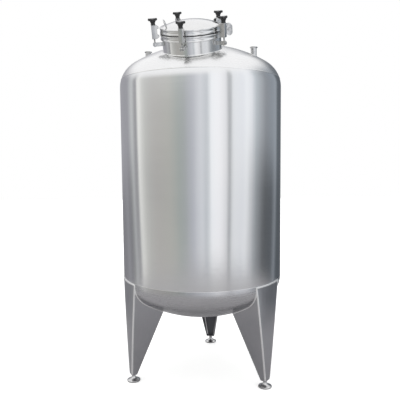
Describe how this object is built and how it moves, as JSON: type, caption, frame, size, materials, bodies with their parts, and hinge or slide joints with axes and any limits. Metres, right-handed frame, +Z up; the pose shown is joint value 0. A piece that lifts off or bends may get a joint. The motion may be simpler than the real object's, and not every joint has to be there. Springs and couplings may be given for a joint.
{
  "type": "stainless steel storage tank",
  "caption": "Upright cylindrical stainless steel vessel with domed ends on three folded-sheet legs, with a hinged round manway held by swing clamps.",
  "frame": {"origin": "on the floor under the middle of the whole object; the vessel's own axis stands 48 mm behind it", "axes": "+Z up, -Y towards the front, where the manway leans"},
  "size_m": [1.1, 1.1995, 2.4566],
  "materials": {
    "stainless_steel": "fine brushed, bright",
    "gasket_rubber": "matt moulded",
    "black_plastic": "moulded, slight gloss"
  },
  "bodies": {
    "tank": {"shell_segment_1": "stainless_steel", "shell_segment_2": "stainless_steel", "shell_segment_3": "stainless_steel", "shell_segment_4": "stainless_steel", "shell_segment_5": "stainless_steel", "shell_segment_6": "stainless_steel", "shell_segment_7": "stainless_steel", "shell_segment_8": "stainless_steel", "top_dish": "stainless_steel", "bottom_dish": "stainless_steel", "right_ferrule": "stainless_steel", "left_ferrule": "stainless_steel", "bottom_outlet": "stainless_steel", "manway_neck": "stainless_steel", "manway_gasket": "gasket_rubber", "hinge_bracket": "stainless_steel", "left_leg": "stainless_steel", "right_leg": "stainless_steel", "back_leg": "stainless_steel", "left_foot": "stainless_steel", "right_foot": "stainless_steel", "back_foot": "stainless_steel", "left_lug": "stainless_steel", "front_lug": "stainless_steel", "right_lug": "stainless_steel", "back_right_lug": "stainless_steel", "back_left_lug": "stainless_steel"},
    "lid": {"manway_lid": "stainless_steel", "lid_handle": "stainless_steel", "lid_hinge_arm": "stainless_steel"},
    "left_clamp": {"left_swing_bolt": "stainless_steel", "left_claw": "stainless_steel"},
    "left_knob": {"left_knob": "black_plastic"},
    "front_clamp": {"front_swing_bolt": "stainless_steel", "front_claw": "stainless_steel"},
    "front_knob": {"front_knob": "black_plastic"},
    "right_clamp": {"right_swing_bolt": "stainless_steel", "right_claw": "stainless_steel"},
    "right_knob": {"right_knob": "black_plastic"},
    "back_right_clamp": {"back_right_swing_bolt": "stainless_steel", "back_right_claw": "stainless_steel"},
    "back_right_knob": {"back_right_knob": "black_plastic"},
    "back_left_clamp": {"back_left_swing_bolt": "stainless_steel", "back_left_claw": "stainless_steel"},
    "back_left_knob": {"back_left_knob": "black_plastic"}
  },
  "joints": [
    {"name": "lid_hinge", "type": "hinge", "parent": "tank", "child": "lid", "pos_m": [0.17783, -0.31845, 2.30186], "axis": [-0.0771, 0.9207, 0.3825], "range_deg": [0, 100]},
    {"name": "left_clamp_swing", "type": "hinge", "parent": "tank", "child": "left_clamp", "pos_m": [-0.27647, -0.31907, 2.21175], "axis": [0.0771, -0.9207, -0.3825], "range_deg": [0, 105]},
    {"name": "left_knob_turn", "type": "hinge", "parent": "left_clamp", "child": "left_knob", "pos_m": [-0.28271, -0.36349, 2.31743], "axis": [-0.0544, -0.3869, 0.9205], "continuous": true},
    {"name": "front_clamp_swing", "type": "hinge", "parent": "tank", "child": "front_clamp", "pos_m": [-0.10329, -0.5104, 2.14156], "axis": [0.9706, -0.2368, -0.0422], "range_deg": [0, 105]},
    {"name": "front_knob_turn", "type": "hinge", "parent": "front_clamp", "child": "front_knob", "pos_m": [-0.10953, -0.55482, 2.24723], "axis": [-0.0544, -0.3869, 0.9205], "continuous": true},
    {"name": "right_clamp_swing", "type": "hinge", "parent": "tank", "child": "right_clamp", "pos_m": [0.14356, -0.42154, 2.19349], "axis": [0.5228, 0.7744, 0.3564], "range_deg": [0, 105]},
    {"name": "right_knob_turn", "type": "hinge", "parent": "right_clamp", "child": "right_knob", "pos_m": [0.13731, -0.46596, 2.29917], "axis": [-0.0544, -0.3869, 0.9205], "continuous": true},
    {"name": "back_right_clamp_swing", "type": "hinge", "parent": "tank", "child": "back_right_clamp", "pos_m": [0.12294, -0.1753, 2.29578], "axis": [-0.6475, 0.7154, 0.2625], "range_deg": [0, 105]},
    {"name": "back_right_knob_turn", "type": "hinge", "parent": "back_right_clamp", "child": "back_right_knob", "pos_m": [0.11669, -0.21972, 2.40145], "axis": [-0.0544, -0.3869, 0.9205], "continuous": true},
    {"name": "back_left_clamp_swing", "type": "hinge", "parent": "tank", "child": "back_left_clamp", "pos_m": [-0.13665, -0.11196, 2.30707], "axis": [-0.923, -0.3322, -0.1942], "range_deg": [0, 105]},
    {"name": "back_left_knob_turn", "type": "hinge", "parent": "back_left_clamp", "child": "back_left_knob", "pos_m": [-0.1429, -0.15638, 2.41274], "axis": [-0.0544, -0.3869, 0.9205], "continuous": true}
  ],
  "couplings": [
    {"joint": "right_clamp_swing", "follows": "lid_hinge", "ratio": 1.05},
    {"joint": "back_right_clamp_swing", "follows": "lid_hinge", "ratio": 1.05}
  ]
}
